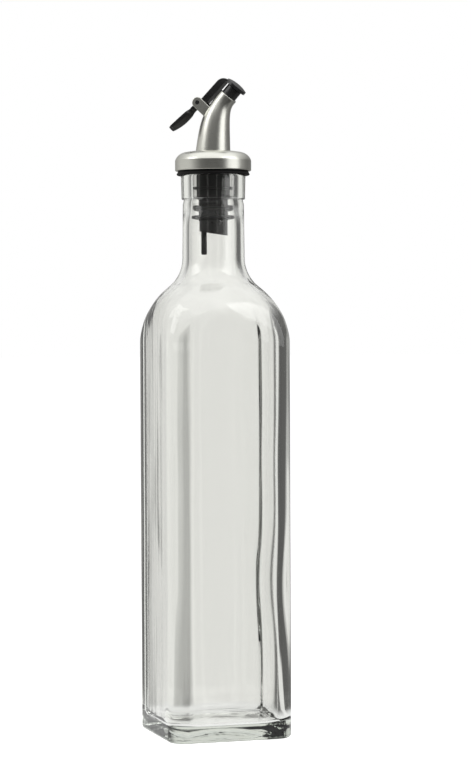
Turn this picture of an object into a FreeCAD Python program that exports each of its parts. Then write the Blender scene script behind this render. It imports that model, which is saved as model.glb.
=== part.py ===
"""Square glass oil bottle with a lever-operated pouring stopper.

The frame stands on the bottle's base: origin at the centre of the base, +Z up, X and Y square to the flat sides.
The pourer is drawn with its spout in the XZ plane, leaning to +X, and is then turned in the neck.
All sizes are in millimetres.
"""

import FreeCAD, Part
import math
import os

Vector = FreeCAD.Vector
ORIGIN = Vector(0, 0, 0)
AXIS_Y = Vector(0, 1, 0)
AXIS_Z = Vector(0, 0, 1)
TOUCH = 1e-6
RIM_TOUCH = 1e-3

# ---------------------------------------------------------------- bottle body
BOTTLE_HEIGHT = 255.3
BODY_WIDTH = 58.0
BODY_CORNER_R = 7.75
BODY_WALL = 2.5
BASE_THICKNESS = 7.0
HEEL_R = 4.0
FLOOR_R = 3.0
PUSH_UP_R = 19.0
PUSH_UP_DEPTH = 2.2
PUSH_UP_FLAT_R = 4.0
DOME_SAG_SHARE = 0.25

# ---------------------------------------------------------------- bottle shoulder and neck
NECK_LENGTH = 37.7
NECK_BORE_R = 10.0
NECK_WALL = 4.25
NECK_R = NECK_BORE_R + NECK_WALL
NECK_TAPER = 0.3
SHOULDER_BULGE_R = 19.6
SHOULDER_TURN = math.radians(48.2)
NECK_SWEEP_R = 16.6
ROUNDING_LEAD = 9.0
ROUNDING_TAIL = 9.8
ROUNDING_SECTIONS = 12
SIDE_ARC_TURN = math.radians(25)

# ---------------------------------------------------------------- bottle mouth
MOUTH_BORE_R = 9.25
RING_WALL = 5.5
RING_R = MOUTH_BORE_R + RING_WALL
RING_HEIGHT = 11.0
RING_TAPER = 0.25
RING_EDGE_R = 0.9
RING_LOW_EDGE_R = 0.45
GROOVE_DEPTH = 0.45
GROOVE_HEIGHT = 2.2
GROOVE_SAG = 0.15
MOUTH_BORE_LENGTH = 12.0
BORE_FLARE_LENGTH = 4.0
MOUTH_CHAMFER = 0.5

# ---------------------------------------------------------------- rubber stopper
FLANGE_OVERHANG = 2.0
FLANGE_R = RING_R + FLANGE_OVERHANG
FLANGE_TOP_CLEARANCE = 0.6
FLANGE_THICKNESS = 2.8
FLANGE_EDGE = 0.4
CORE_TOP_R = MOUTH_BORE_R - 1.6
CORE_END_R = CORE_TOP_R - 1.05
CORE_STEP_DROP = 10.4
CORE_STEP_RUN = 1.0
FIN_COUNT = 4
FIN_FIRST_DROP = 5.9
FIN_PITCH = 4.3
FIN_ROOT_THICKNESS = 1.5
FIN_ROOT_SINK = 1.0
FIN_EDGE_THICKNESS = 0.7
FIN_CLEARANCE = 0.05
STOPPER_TAIL = 1.6

# ---------------------------------------------------------------- pourer shell
CAP_OVERHANG = 0.65
CAP_R = FLANGE_R + CAP_OVERHANG
CAP_EDGE = 0.3
CAP_BAND = 4.7
CAP_SKIRT = 0.8
CAP_SKIRT_WALL = 1.3
CAP_BEVEL_RUN = 4.1
CAP_BEVEL_RISE = 3.7
CAP_BEVEL_SAG = 0.75
CAP_DOME_RISE = 0.7
CAP_DOME_SAG = 0.12
FLANGE_TOP_R = CAP_R - CAP_SKIRT_WALL - FLANGE_TOP_CLEARANCE
STEM_BORE_R = 3.3
STEM_WALL = 1.3
STEM_R = STEM_BORE_R + STEM_WALL
STEM_END_GAP = 2.2

# ---------------------------------------------------------------- nozzle, inlet and vent
NOZZLE_BORE_R = 2.3
NOZZLE_WALL = 1.3
NOZZLE_R = NOZZLE_BORE_R + NOZZLE_WALL
NOZZLE_OUT = 4.4
NOZZLE_SEAT = 3.6
NOZZLE_EDGE_R = 0.3
INLET_R = CORE_END_R - 0.2
INLET_WALL = 1.1
INLET_LENGTH = 7.2
INLET_CUT = math.radians(9)
INLET_PLUG_LENGTH = 3.0
VENT_R = 1.25
VENT_BORE_R = 0.6
VENT_EDGE_R = 0.55
VENT_OFFSET = INLET_R - 1.8
VENT_DROP = 8.6

# ---------------------------------------------------------------- spout, its curves' pulls as shares of its rise
SPOUT_BASE_R = 7.9
SPOUT_BASE_SINK = 1.0
SPOUT_MOUTH_WALL = 0.8
SPOUT_MOUTH_R = NOZZLE_R + SPOUT_MOUTH_WALL
SPOUT_WALL = 1.2
SPOUT_REACH = 7.6
SPOUT_RISE = 25.0
SPOUT_LEAN = math.radians(41.5)
SPOUT_SECTIONS = 9
SPOUT_BACK_START = math.radians(8)
SPOUT_BACK_PULLS = (0.64, 0.52)
SPOUT_FRONT_START = math.radians(-1)
SPOUT_FRONT_PULLS = (0.68, 0.18)
SPOUT_FRONT_FLARE = math.radians(10)
SPOUT_RIM_R = 0.35

# ---------------------------------------------------------------- lever
PIN_BEHIND_MOUTH = 13.9
PIN_BELOW_MOUTH = 2.9
PIN_R = 0.95
PIN_CLEARANCE = 0.05
EAR_WALL = 1.5
EAR_R = PIN_R + PIN_CLEARANCE + EAR_WALL
EAR_THICKNESS = 1.2
EAR_REACH = 7.4
EAR_SIDE_GAP = 0.15
EAR_EDGE_R = 0.3
ARM_WIDTH = 5.0
EARS_HALF_SPAN = ARM_WIDTH / 2 + EAR_SIDE_GAP + EAR_THICKNESS
ARM_ANGLE = math.radians(46)
ARM_TOP_OFFSET = 0.2
ARM_THICKNESS = 3.2
ARM_EDGE_R = 0.4
KNEE_R = 4.0
KNEE_INNER_R = 0.8
HUB_WALL = 1.05
HUB_R = PIN_R + HUB_WALL
LID_OVERHANG = 1.5
LID_R = NOZZLE_R + LID_OVERHANG
LID_GAP = 0.2
LID_UNDER = NOZZLE_OUT + LID_GAP
LID_BRIDGE = LID_UNDER + 1.0
LID_RIM = LID_UNDER + 1.4
LID_TOP = LID_RIM + 0.8
LID_FLAT_R = 0.8
PADDLE_ANGLE = math.radians(220.2)
PADDLE_TOP_OFFSET = 0.6
PADDLE_LENGTH = 17.8
PADDLE_WIDTH = 7.4
PADDLE_WIDEN_START = 4.0
PADDLE_WIDEN_END = 9.0
PADDLE_ROOT_DEPTH = 2.3
PADDLE_DEPTH = 3.2
PADDLE_TIP_DEPTH = 2.0
PADDLE_TIP_R = 2.6
PADDLE_TIP_INSET = 2.0
PADDLE_SIDE_SHARE = 0.25
PADDLE_SECTIONS = 10

POURER_TURN = -33.0

# ---------------------------------------------------------------- levels worked out from the sizes above
SWEEP_TOP_Z = BOTTLE_HEIGHT - NECK_LENGTH
RING_BOTTOM_Z = BOTTLE_HEIGHT - RING_HEIGHT
FLANGE_TOP_Z = BOTTLE_HEIGHT + FLANGE_THICKNESS
CAP_BOTTOM_Z = FLANGE_TOP_Z - CAP_SKIRT
BAND_TOP_Z = CAP_BOTTOM_Z + CAP_BAND
BEVEL_TOP_Z = BAND_TOP_Z + CAP_BEVEL_RISE
SPOUT_BASE_Z = BEVEL_TOP_Z + CAP_DOME_RISE
STOPPER_END_Z = BOTTLE_HEIGHT - FIN_FIRST_DROP - FIN_PITCH * (FIN_COUNT - 1) - STOPPER_TAIL
INLET_END_Z = STOPPER_END_Z - INLET_LENGTH
VENT_END_Z = INLET_END_Z - VENT_DROP
STEM_END_Z = STOPPER_END_Z + INLET_PLUG_LENGTH + STEM_END_GAP
SPOUT_AXIS = Vector(math.sin(SPOUT_LEAN), 0, math.cos(SPOUT_LEAN))
SPOUT_ACROSS = Vector(math.cos(SPOUT_LEAN), 0, -math.sin(SPOUT_LEAN))
MOUTH = Vector(SPOUT_REACH, 0, SPOUT_BASE_Z + SPOUT_RISE)
PIN = MOUTH - Vector(PIN_BEHIND_MOUTH, 0, PIN_BELOW_MOUTH)


# ================================================================ helpers
def smooth_step(share):
    """0 up to 0, 1 from 1 on, with a smooth rise between."""
    share = min(1.0, max(0.0, share))
    return share * share * (3.0 - 2.0 * share)


def blend(start, end, share):
    return start + (end - start) * share


def direction(angle):
    """Unit vector in the XZ plane, at an angle from +X towards +Z."""
    return Vector(math.cos(angle), 0, math.sin(angle))


def square_to(along):
    """The unit vector a quarter turn on from one in the XZ plane."""
    return Vector(-along.z, 0, along.x)


def bulged(start, end, sagitta):
    """Middle point of an arc from start to end that stands out to the right of the way there by the sagitta."""
    chord = (end[0] - start[0], end[1] - start[1])
    length = math.hypot(*chord)
    return ((start[0] + end[0]) / 2 + sagitta * chord[1] / length,
            (start[1] + end[1]) / 2 - sagitta * chord[0] / length)


def corner_arc(start, corner, end):
    """Middle point of the quarter-like arc that rounds a corner between two points equally far from it."""
    chord_middle = ((start[0] + end[0]) / 2, (start[1] + end[1]) / 2)
    half = math.hypot(end[0] - start[0], end[1] - start[1]) / 2
    height = math.hypot(corner[0] - chord_middle[0], corner[1] - chord_middle[1])
    reach = half * (math.hypot(half, height) - half) / height
    share = reach / height
    return (blend(chord_middle[0], corner[0], share), blend(chord_middle[1], corner[1], share))


def outline_wire(entries):
    """Closed wire in the XZ plane. An entry is a point (r, z), or ("arc", middle point, end point)."""
    edges = []
    here = Vector(entries[0][0], 0, entries[0][1])
    for entry in list(entries[1:]) + [entries[0]]:
        if entry[0] == "arc":
            middle = Vector(entry[1][0], 0, entry[1][1])
            there = Vector(entry[2][0], 0, entry[2][1])
            edges.append(Part.Arc(here, middle, there).toShape())
        else:
            there = Vector(entry[0], 0, entry[1])
            edges.append(Part.LineSegment(here, there).toShape())
        here = there
    return Part.Wire(edges)


def turned(entries):
    """Solid of revolution about Z from an outline in the XZ plane."""
    return Part.Face(outline_wire(entries)).revolve(ORIGIN, AXIS_Z, 360)


def cylinder(radius, bottom, top):
    return Part.makeCylinder(radius, top - bottom, Vector(0, 0, bottom))


def edges_where(shape, test):
    """The edges whose points all pass a test."""
    chosen = []
    for edge in shape.Edges:
        middle = edge.valueAt((edge.FirstParameter + edge.LastParameter) / 2)
        points = [vertex.Point for vertex in edge.Vertexes] + [middle]
        if all(test(point) for point in points):
            chosen.append(edge)
    return chosen


def across_pin(radius, half_length):
    """Cylinder on the hinge's axis, as long to one side of the lever as to the other."""
    return Part.makeCylinder(radius, 2 * half_length, PIN - Vector(0, half_length, 0), AXIS_Y)


def to_spout_axis(shape):
    """Moves a shape drawn on Z, with the spout's mouth plane at z = 0, onto the spout's axis."""
    placed = shape.copy()
    placed.rotate(ORIGIN, AXIS_Y, math.degrees(SPOUT_LEAN))
    placed.translate(MOUTH)
    return placed


# ================================================================ bottle
class Shoulder:
    """Outline of one skin of the glass, over the middle of a flat side: a straight side, a bulge, a straight slope
    and a sweep into the neck. Its sections change from a square with rounded corners to a circle."""

    def __init__(self, half_width, corner_r, bulge_r, neck_r, sweep_r, turn):
        self.half_width = half_width
        self.corner_r = corner_r
        self.bulge_r = bulge_r
        self.neck_r = neck_r
        self.sweep_r = sweep_r
        self.turn = turn
        slope_width = half_width - neck_r - (bulge_r + sweep_r) * (1 - math.cos(turn))
        self.slope_rise = slope_width / math.tan(turn)

    def stand_on(self, bulge_start):
        """Sets the levels from the one where the bulge starts."""
        self.bulge_start = bulge_start
        self.slope_start = bulge_start + self.bulge_r * math.sin(self.turn)
        self.sweep_start = self.slope_start + self.slope_rise
        self.sweep_top = self.sweep_start + self.sweep_r * math.sin(self.turn)
        return self

    def half_width_at(self, level):
        if level <= self.bulge_start:
            return self.half_width
        if level <= self.slope_start:
            rise = level - self.bulge_start
            return self.half_width - self.bulge_r + math.sqrt(self.bulge_r ** 2 - rise ** 2)
        if level <= self.sweep_start:
            bulge_width = self.half_width - self.bulge_r * (1 - math.cos(self.turn))
            return bulge_width - (level - self.slope_start) * math.tan(self.turn)
        if level <= self.sweep_top:
            return self.neck_r + self.sweep_r - math.sqrt(self.sweep_r ** 2 - (self.sweep_top - level) ** 2)
        return self.neck_r

    def section(self, level, roundness):
        """Closed section of four side arcs and four corner arcs, tangent to each other. At roundness 0 the sides
        are flat, and at 1 all eight arcs lie on one circle."""
        width = self.half_width_at(level)
        turn = SIDE_ARC_TURN * roundness
        flat_share = (self.half_width - self.corner_r) / self.half_width
        flat = width * blend(flat_share, math.sin(SIDE_ARC_TURN), roundness)
        corner_r = (width - flat * (1 + math.tan(turn / 2))) / (math.cos(turn) - math.sin(turn))
        corner_at = flat - corner_r * math.sin(turn)
        corner_middle = corner_at + corner_r * math.sqrt(0.5)
        edge_x = corner_at + corner_r * math.cos(turn)
        edges = []
        for quarter in range(4):
            side_start = Vector(edge_x, -flat, level)
            side_middle = Vector(width, 0, level)
            side_end = Vector(edge_x, flat, level)
            if roundness > 0:
                side = Part.Arc(side_start, side_middle, side_end).toShape()
            else:
                side = Part.LineSegment(side_start, side_end).toShape()
            corner = Part.Arc(side_end, Vector(corner_middle, corner_middle, level),
                              Vector(flat, edge_x, level)).toShape()
            for edge in (side, corner):
                edge.rotate(ORIGIN, AXIS_Z, 90 * quarter)
                edges.append(edge)
        return Part.Wire(edges)


def glass_skin(shoulder, floor_z, floor_edge_r, rounding_start, rounding_end, neck_outline):
    """One skin of the bottle as a solid: a straight body, a lofted shoulder and a turned neck."""
    body_face = Part.Face(shoulder.section(floor_z, 0))
    body = body_face.extrude(Vector(0, 0, rounding_start - floor_z))
    body = body.makeFillet(floor_edge_r, edges_where(body, lambda p: abs(p.z - floor_z) < TOUCH))
    sections = []
    for index in range(ROUNDING_SECTIONS + 1):
        share = index / ROUNDING_SECTIONS
        level = blend(rounding_start, rounding_end, share)
        sections.append(shoulder.section(level, smooth_step(share)))
    shoulder_loft = Part.makeLoft(sections, True, False)
    neck = turned(neck_outline)
    return body.fuse([shoulder_loft, neck])


def sweep_entry(shoulder, start_level):
    """The arc of the outline from a level in the sweep up to the neck, for a turned outline."""
    middle_level = blend(start_level, shoulder.sweep_top, 0.5)
    middle = (shoulder.half_width_at(middle_level), middle_level)
    return ("arc", middle, (shoulder.neck_r, shoulder.sweep_top))


def bottle_solid():
    half_width = BODY_WIDTH / 2
    arcs_r = SHOULDER_BULGE_R + NECK_SWEEP_R
    turn = min(SHOULDER_TURN, math.acos(max(0.0, 1 - (half_width - NECK_R) / arcs_r)))
    outer = Shoulder(half_width, BODY_CORNER_R, SHOULDER_BULGE_R, NECK_R, NECK_SWEEP_R, turn)
    outer.stand_on(SWEEP_TOP_Z - outer.slope_rise - arcs_r * math.sin(turn))
    inner = Shoulder(half_width - BODY_WALL, BODY_CORNER_R - BODY_WALL, SHOULDER_BULGE_R - BODY_WALL,
                     NECK_BORE_R, NECK_SWEEP_R + BODY_WALL, turn)
    inner.stand_on(outer.bulge_start)
    rounding_start = outer.bulge_start - ROUNDING_LEAD
    rounding_end = SWEEP_TOP_Z - ROUNDING_TAIL

    neck_top_r = NECK_R - NECK_TAPER
    groove_bottom_z = RING_BOTTOM_Z - GROOVE_HEIGHT
    groove_top = (neck_top_r - GROOVE_DEPTH, RING_BOTTOM_Z)
    ring_bottom_r = RING_R - RING_TAPER
    ring_low = (ring_bottom_r, RING_BOTTOM_Z + RING_LOW_EDGE_R)
    ring_low_start = (ring_bottom_r - RING_LOW_EDGE_R, RING_BOTTOM_Z)
    ring_high = (RING_R, BOTTLE_HEIGHT - RING_EDGE_R)
    ring_high_end = (RING_R - RING_EDGE_R, BOTTLE_HEIGHT)
    outer_neck = [
        (0, rounding_end),
        (outer.half_width_at(rounding_end), rounding_end),
        sweep_entry(outer, rounding_end),
        (neck_top_r, groove_bottom_z),
        ("arc", bulged((neck_top_r, groove_bottom_z), groove_top, -GROOVE_SAG), groove_top),
        ring_low_start,
        ("arc", corner_arc(ring_low_start, (ring_bottom_r, RING_BOTTOM_Z), ring_low), ring_low),
        ring_high,
        ("arc", corner_arc(ring_high, (RING_R, BOTTLE_HEIGHT), ring_high_end), ring_high_end),
        (0, BOTTLE_HEIGHT),
    ]
    mouth_bore_z = BOTTLE_HEIGHT - MOUTH_BORE_LENGTH
    inner_neck = [
        (0, rounding_end),
        (inner.half_width_at(rounding_end), rounding_end),
        sweep_entry(inner, rounding_end),
        (NECK_BORE_R, mouth_bore_z - BORE_FLARE_LENGTH),
        (MOUTH_BORE_R, mouth_bore_z),
        (MOUTH_BORE_R, BOTTLE_HEIGHT - MOUTH_CHAMFER),
        (MOUTH_BORE_R + MOUTH_CHAMFER, BOTTLE_HEIGHT),
        (0, BOTTLE_HEIGHT),
    ]
    outside = glass_skin(outer, 0, HEEL_R, rounding_start, rounding_end, outer_neck)
    inside = glass_skin(inner, BASE_THICKNESS, FLOOR_R, rounding_start, rounding_end, inner_neck)
    push_up_edge = (PUSH_UP_R, 0)
    push_up_top = (PUSH_UP_FLAT_R, PUSH_UP_DEPTH)
    push_up = turned([
        (0, 0),
        push_up_edge,
        ("arc", bulged(push_up_edge, push_up_top, PUSH_UP_DEPTH * DOME_SAG_SHARE), push_up_top),
        (0, PUSH_UP_DEPTH),
    ])
    return outside.cut(inside).cut(push_up)


def bore_radius(level):
    """Radius of the bottle's bore at a level in the neck."""
    flare_top = BOTTLE_HEIGHT - MOUTH_BORE_LENGTH
    share = (flare_top - level) / BORE_FLARE_LENGTH
    return blend(MOUTH_BORE_R, NECK_BORE_R, min(1.0, max(0.0, share)))


# ================================================================ stopper
def stopper_solid():
    step_z = BOTTLE_HEIGHT - CORE_STEP_DROP
    core = turned([
        (0, STOPPER_END_Z),
        (CORE_END_R, STOPPER_END_Z),
        (CORE_END_R, step_z - CORE_STEP_RUN),
        (CORE_TOP_R, step_z),
        (CORE_TOP_R, BOTTLE_HEIGHT),
        (FLANGE_R - FLANGE_EDGE, BOTTLE_HEIGHT),
        (FLANGE_R, BOTTLE_HEIGHT + FLANGE_EDGE),
        (FLANGE_TOP_R, FLANGE_TOP_Z),
        (0, FLANGE_TOP_Z),
    ])
    fin_root_r = CORE_END_R - FIN_ROOT_SINK
    fins = []
    for index in range(FIN_COUNT):
        level = BOTTLE_HEIGHT - FIN_FIRST_DROP - FIN_PITCH * index
        edge_r = bore_radius(level - FIN_EDGE_THICKNESS) - FIN_CLEARANCE
        edge_r = min(edge_r, bore_radius(level + FIN_EDGE_THICKNESS) - FIN_CLEARANCE)
        fins.append(turned([
            (fin_root_r, level - FIN_ROOT_THICKNESS / 2),
            (edge_r, level - FIN_EDGE_THICKNESS / 2),
            (edge_r, level + FIN_EDGE_THICKNESS / 2),
            (fin_root_r, level + FIN_ROOT_THICKNESS / 2),
        ]))
    passage = cylinder(STEM_R, STOPPER_END_Z, FLANGE_TOP_Z)
    return core.fuse(fins).cut(passage)


# ================================================================ pourer shell
def spout_lines(inset):
    """The spout's back and front lines in the XZ plane, each as the four points of a curve, moved inwards by an
    inset."""
    base_r = SPOUT_BASE_R - inset
    mouth_r = SPOUT_MOUTH_R - inset
    back_start = Vector(-base_r, 0, SPOUT_BASE_Z)
    back_end = MOUTH - SPOUT_ACROSS * mouth_r
    back_rise = Vector(math.sin(SPOUT_BACK_START), 0, math.cos(SPOUT_BACK_START))
    back_pulls = [share * SPOUT_RISE for share in SPOUT_BACK_PULLS]
    back = (back_start, back_start + back_rise * back_pulls[0], back_end - SPOUT_AXIS * back_pulls[1], back_end)
    front_start = Vector(base_r, 0, SPOUT_BASE_Z)
    front_end = MOUTH + SPOUT_ACROSS * mouth_r
    flare = SPOUT_LEAN + SPOUT_FRONT_FLARE
    front_way = Vector(math.sin(flare), 0, math.cos(flare))
    front_rise = Vector(math.sin(SPOUT_FRONT_START), 0, math.cos(SPOUT_FRONT_START))
    front_pulls = [share * SPOUT_RISE for share in SPOUT_FRONT_PULLS]
    front = (front_start, front_start + front_rise * front_pulls[0], front_end - front_way * front_pulls[1],
             front_end)
    return back, front


def curve_point(points, share):
    """Point at a share of the way along a cubic curve of four points."""
    rest = 1 - share
    return (points[0] * rest ** 3 + points[1] * (3 * rest ** 2 * share)
            + points[2] * (3 * rest * share ** 2) + points[3] * share ** 3)


def spout_form(inset):
    """The spout as a loft of circles that span from its back line to its front line."""
    back, front = spout_lines(inset)
    circles = []
    for index in range(SPOUT_SECTIONS):
        share = index / (SPOUT_SECTIONS - 1)
        back_point = curve_point(back, share)
        front_point = curve_point(front, share)
        across = front_point - back_point
        circle = Part.Circle((back_point + front_point) * 0.5, square_to(across), across.Length / 2)
        circle.XAxis = across
        circles.append(Part.Wire([circle.toShape()]))
    return Part.makeLoft(circles, True, False)


def ear_plate(side):
    """Hinge ear on one side of the lever, from its round end at the pin down into the spout's wall."""
    along = -square_to(direction(ARM_ANGLE))
    across = direction(ARM_ANGLE)
    tip = PIN - along * EAR_R
    root = PIN + along * EAR_REACH
    edges = [
        Part.Arc(PIN + across * EAR_R, tip, PIN - across * EAR_R).toShape(),
        Part.LineSegment(PIN - across * EAR_R, root - across * EAR_R).toShape(),
        Part.LineSegment(root - across * EAR_R, root + across * EAR_R).toShape(),
        Part.LineSegment(root + across * EAR_R, PIN + across * EAR_R).toShape(),
    ]
    plate = Part.Face(Part.Wire(edges)).extrude(Vector(0, EAR_THICKNESS, 0))
    rims = edges_where(plate, lambda p: p.y < TOUCH or p.y > EAR_THICKNESS - TOUCH)
    plate = plate.makeFillet(EAR_EDGE_R, rims)
    if side > 0:
        plate.translate(Vector(0, EARS_HALF_SPAN - EAR_THICKNESS, 0))
    else:
        plate.translate(Vector(0, -EARS_HALF_SPAN, 0))
    return plate


def pourer_shell_solid():
    skirt_r = CAP_R - CAP_SKIRT_WALL
    band_top = (CAP_R, BAND_TOP_Z)
    bevel_top = (CAP_R - CAP_BEVEL_RUN, BEVEL_TOP_Z)
    dome_edge = (SPOUT_BASE_R - SPOUT_BASE_SINK, SPOUT_BASE_Z)
    cap = turned([
        (0, STEM_END_Z),
        (STEM_R, STEM_END_Z),
        (STEM_R, FLANGE_TOP_Z),
        (skirt_r, FLANGE_TOP_Z),
        (skirt_r, CAP_BOTTOM_Z),
        (CAP_R - CAP_EDGE, CAP_BOTTOM_Z),
        (CAP_R, CAP_BOTTOM_Z + CAP_EDGE),
        band_top,
        ("arc", bulged(band_top, bevel_top, CAP_BEVEL_SAG), bevel_top),
        ("arc", bulged(bevel_top, dome_edge, CAP_DOME_SAG), dome_edge),
        (0, SPOUT_BASE_Z),
    ])
    spout = spout_form(0)
    rim = edges_where(spout, lambda p: abs((p - MOUTH).dot(SPOUT_AXIS)) < RIM_TOUCH)
    spout = spout.makeFillet(SPOUT_RIM_R, rim)
    spout_root = cylinder(SPOUT_BASE_R, BEVEL_TOP_Z - SPOUT_BASE_SINK, SPOUT_BASE_Z)
    shell = cap.fuse([spout_root, spout, ear_plate(-1), ear_plate(1)])
    channel = spout_form(SPOUT_WALL)
    stem_bore = cylinder(STEM_BORE_R, STEM_END_Z, SPOUT_BASE_Z)
    seat = to_spout_axis(cylinder(NOZZLE_R, -NOZZLE_SEAT, NOZZLE_OUT))
    hinge_hole = across_pin(PIN_R + PIN_CLEARANCE, EARS_HALF_SPAN)
    return shell.cut([channel, stem_bore, seat, hinge_hole])


# ================================================================ nozzle, inlet and vent
def nozzle_solid():
    tube = cylinder(NOZZLE_R, -NOZZLE_SEAT, NOZZLE_OUT)
    tube = tube.makeFillet(NOZZLE_EDGE_R, edges_where(tube, lambda p: p.z > NOZZLE_OUT - TOUCH))
    return to_spout_axis(tube.cut(cylinder(NOZZLE_BORE_R, -NOZZLE_SEAT, NOZZLE_OUT)))


def vent_form():
    """The vent tube's outside, hanging on the side away from the spout."""
    tube = cylinder(VENT_R, VENT_END_Z, STOPPER_END_Z)
    tube = tube.makeFillet(VENT_EDGE_R, edges_where(tube, lambda p: p.z < VENT_END_Z + TOUCH))
    tube.translate(Vector(-VENT_OFFSET, 0, 0))
    return tube


def inlet_tube_solid():
    plug_top_z = STOPPER_END_Z + INLET_PLUG_LENGTH
    tube = cylinder(INLET_R, INLET_END_Z, STOPPER_END_Z).fuse(cylinder(STEM_R, STOPPER_END_Z, plug_top_z))
    hollow = cylinder(INLET_R - INLET_WALL, INLET_END_Z, STOPPER_END_Z - INLET_WALL).fuse(
        cylinder(STEM_BORE_R, INLET_END_Z, plug_top_z))
    oblique = Part.makeCylinder(4 * INLET_R, INLET_LENGTH, Vector(0, 0, -INLET_LENGTH))
    oblique.rotate(ORIGIN, AXIS_Y, math.degrees(INLET_CUT))
    oblique.translate(Vector(INLET_R, 0, INLET_END_Z))
    return tube.cut([hollow, oblique, vent_form()])


def vent_tube_solid():
    bore = cylinder(VENT_BORE_R, VENT_END_Z, STOPPER_END_Z)
    bore.translate(Vector(-VENT_OFFSET, 0, 0))
    return vent_form().cut(bore)


# ================================================================ lever
def crossing(point, way, other_point, other_way):
    """Where two lines in the XZ plane cross."""
    between = other_point - point
    spread = way.x * other_way.z - way.z * other_way.x
    return point + way * ((between.x * other_way.z - between.z * other_way.x) / spread)


def lever_arm():
    """Arm from the hinge up to the knee, and the bridge from there to the middle of the lid."""
    arm_way = direction(ARM_ANGLE)
    arm_up = square_to(arm_way)
    top_start = PIN + arm_up * ARM_TOP_OFFSET
    under_start = top_start - arm_up * ARM_THICKNESS
    bridge_top = MOUTH + SPOUT_AXIS * LID_BRIDGE
    bridge_under = MOUTH + SPOUT_AXIS * LID_UNDER
    knee = crossing(top_start, arm_way, bridge_top, SPOUT_ACROSS)
    knee_inside = crossing(under_start, arm_way, bridge_under, SPOUT_ACROSS)
    corners = [top_start, knee, bridge_top, bridge_under, knee_inside, under_start]
    arm = Part.Face(Part.makePolygon(corners + corners[:1])).extrude(Vector(0, ARM_WIDTH, 0))
    arm.translate(Vector(0, -ARM_WIDTH / 2, 0))
    arm = arm.makeFillet(KNEE_R, edges_where(arm, lambda p: (p - knee).cross(AXIS_Y).Length < TOUCH))
    arm = arm.makeFillet(KNEE_INNER_R, edges_where(
        arm, lambda p: (p - knee_inside).cross(AXIS_Y).Length < TOUCH))
    long_edges = edges_where(arm, lambda p: abs(p.y) > ARM_WIDTH / 2 - TOUCH and (
        (p - top_start).dot(arm_up) > -KNEE_R / 2 or (p - bridge_top).dot(SPOUT_AXIS) > -TOUCH))
    return arm.makeFillet(ARM_EDGE_R, long_edges)


def lever_lid():
    rim = (LID_R, LID_RIM)
    crown = (LID_FLAT_R, LID_TOP)
    return to_spout_axis(turned([
        (0, LID_UNDER),
        (LID_R, LID_UNDER),
        rim,
        ("arc", bulged(rim, crown, (LID_TOP - LID_RIM) * DOME_SAG_SHARE), crown),
        (0, LID_TOP),
    ]))


def paddle_section(reach, half_width, depth):
    """D section of the thumb paddle at a distance from the pin: a flat top, short sides and a round belly."""
    along = direction(PADDLE_ANGLE)
    down = square_to(along)
    middle = PIN + along * reach - down * PADDLE_TOP_OFFSET
    side = Vector(0, half_width, 0)
    side_drop = down * (depth * PADDLE_SIDE_SHARE)
    edges = [
        Part.LineSegment(middle - side + side_drop, middle - side).toShape(),
        Part.LineSegment(middle - side, middle + side).toShape(),
        Part.LineSegment(middle + side, middle + side + side_drop).toShape(),
        Part.Arc(middle + side + side_drop, middle + down * depth, middle - side + side_drop).toShape(),
    ]
    return Part.Wire(edges)


def lever_paddle():
    """Straight root between the ears, then a loft that widens, deepens and ends in a rounded tip."""
    root = Part.Face(paddle_section(0, ARM_WIDTH / 2, PADDLE_ROOT_DEPTH)).extrude(
        direction(PADDLE_ANGLE) * PADDLE_WIDEN_START)
    belly = PADDLE_DEPTH - (PADDLE_ROOT_DEPTH + PADDLE_TIP_DEPTH) / 2
    sections = []
    for index in range(PADDLE_SECTIONS + 1):
        share = math.sin(math.pi / 2 * index / PADDLE_SECTIONS)
        reach = blend(PADDLE_WIDEN_START, PADDLE_LENGTH, share)
        widening = smooth_step((reach - PADDLE_WIDEN_START) / (PADDLE_WIDEN_END - PADDLE_WIDEN_START))
        into_tip = max(0.0, reach - (PADDLE_LENGTH - PADDLE_TIP_R)) / PADDLE_TIP_R
        tip_inset = PADDLE_TIP_INSET * (1 - math.sqrt(max(0.0, 1 - into_tip ** 2)))
        half_width = blend(ARM_WIDTH, PADDLE_WIDTH, widening) / 2 - tip_inset
        depth = blend(PADDLE_ROOT_DEPTH, PADDLE_TIP_DEPTH, share) + belly * 4 * share * (1 - share)
        sections.append(paddle_section(reach, half_width, depth))
    return root.fuse(Part.makeLoft(sections, True, False))


def lever_solid():
    hub = across_pin(HUB_R, ARM_WIDTH / 2)
    trunnions = across_pin(PIN_R, EARS_HALF_SPAN)
    return lever_arm().fuse([lever_lid(), lever_paddle(), hub, trunnions])


# ================================================================ output
def write_part(name, shape, turn):
    """Checks a piece, turns it in the neck and writes it as one STEP file."""
    piece = shape.removeSplitter()
    piece.rotate(ORIGIN, AXIS_Z, turn)
    if not piece.isValid() or len(piece.Solids) != 1:
        raise RuntimeError("%s is not one valid solid (%d)" % (name, len(piece.Solids)))
    piece.Solids[0].exportStep("parts/%s.step" % name)
    print("%-14s %9.1f mm3  z %.2f to %.2f" % (name, piece.Volume, piece.BoundBox.ZMin, piece.BoundBox.ZMax))


def main():
    os.makedirs("parts", exist_ok=True)
    write_part("bottle", bottle_solid(), 0)
    write_part("stopper", stopper_solid(), 0)
    write_part("pourer_shell", pourer_shell_solid(), POURER_TURN)
    write_part("nozzle", nozzle_solid(), POURER_TURN)
    write_part("inlet_tube", inlet_tube_solid(), POURER_TURN)
    write_part("vent_tube", vent_tube_solid(), POURER_TURN)
    write_part("lever", lever_solid(), POURER_TURN)


main()
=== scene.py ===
"""Looks of a square glass oil bottle with a lever pourer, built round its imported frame."""

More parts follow.
